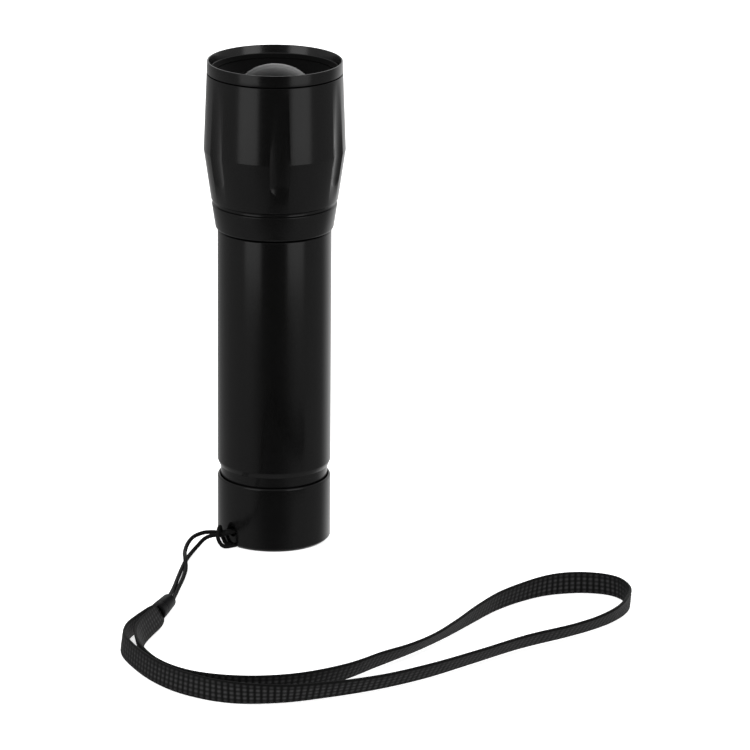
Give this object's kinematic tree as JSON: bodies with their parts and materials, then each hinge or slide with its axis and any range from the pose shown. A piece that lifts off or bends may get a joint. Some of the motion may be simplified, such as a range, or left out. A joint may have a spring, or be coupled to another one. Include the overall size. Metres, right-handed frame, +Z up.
{
  "type": "tactical flashlight",
  "caption": "Pocket metal torch with a push-pull focusing head, screw-on tail cap with a push button, and a wrist lanyard hitched to the tail.",
  "frame": {"origin": "centre of the tail cap's standing ring, on the surface the torch stands on", "axes": "+Z up the torch towards the lens, -Y to the front, +X to the right; the lanyard lies to the front and left"},
  "size_m": [0.1164, 0.1345, 0.1172],
  "materials": {
    "black_anodised": "fine satin black anodising over turned aluminium",
    "plain_aluminium": "turned, uncoated",
    "brass": "machined",
    "spring_steel": "nickel-plated spring wire and strip",
    "rubber": "moulded, matt",
    "black_plastic": "injection-moulded, half gloss",
    "circuit_board": "solder-masked glass-fibre board",
    "white_plastic": "moulded white",
    "lens_acrylic": "clear polished optical acrylic",
    "cell_jacket": "plain printed film over a steel can",
    "cord_nylon": "fine braided nylon cord",
    "strap_nylon": "woven nylon ribbon, ribbed"
  },
  "bodies": {
    "tail_cap": {"tail_cap": "black_anodised", "boot_flange": "rubber", "boot_retaining_ring": "brass", "switch_body": "black_plastic", "switch_board": "circuit_board", "tail_spring": "spring_steel", "wrist_cord": "cord_nylon", "cord_ferrule": "black_plastic", "wrist_strap": "strap_nylon"},
    "button": {"button_boot": "rubber", "switch_plunger": "white_plastic"},
    "tail_oring": {"tail_oring": "rubber"},
    "barrel": {"barrel_tube": "black_anodised", "led_pill": "plain_aluminium", "driver_board": "circuit_board", "driver_spring": "spring_steel", "led_board": "plain_aluminium", "led_emitter": "white_plastic", "led_retainer": "black_plastic", "carrier_frame": "black_plastic", "carrier_cap": "black_plastic", "carrier_top_terminal": "brass", "carrier_bottom_terminal": "brass", "carrier_bottom_link": "spring_steel", "carrier_top_link": "spring_steel", "cell_1": "cell_jacket", "cell_2": "cell_jacket", "cell_3": "cell_jacket", "cell_spring_1": "spring_steel", "cell_spring_2": "spring_steel", "cell_spring_3": "spring_steel"},
    "focus_oring": {"focus_oring": "rubber"},
    "head": {"head_shell": "black_anodised", "bezel_ring": "black_anodised", "lens": "lens_acrylic", "lens_gasket": "rubber"}
  },
  "joints": [
    {"name": "button_press", "type": "slide", "parent": "tail_cap", "child": "button", "axis": [0, 0, 1], "range_m": [0, 0.0015], "stiffness_N_per_m": 2000, "springref_m": -0.0005},
    {"name": "cap_advance", "type": "slide", "parent": "tail_cap", "child": "tail_oring", "axis": [0, 0, 1], "range_m": [0, 0.0035]},
    {"name": "cap_unscrew", "type": "hinge", "parent": "tail_oring", "child": "barrel", "pos_m": [0, 0, 0.0141], "axis": [0, 0, 1], "range_deg": [0, 1800]},
    {"name": "head_turn", "type": "hinge", "parent": "barrel", "child": "focus_oring", "pos_m": [0, 0, 0.0904], "axis": [0, 0, 1], "continuous": true},
    {"name": "head_focus", "type": "slide", "parent": "focus_oring", "child": "head", "axis": [0, 0, 1], "range_m": [0, 0.008]}
  ],
  "couplings": [
    {"joint": "cap_advance", "follows": "cap_unscrew", "m_per_rad": 0.00011141}
  ]
}
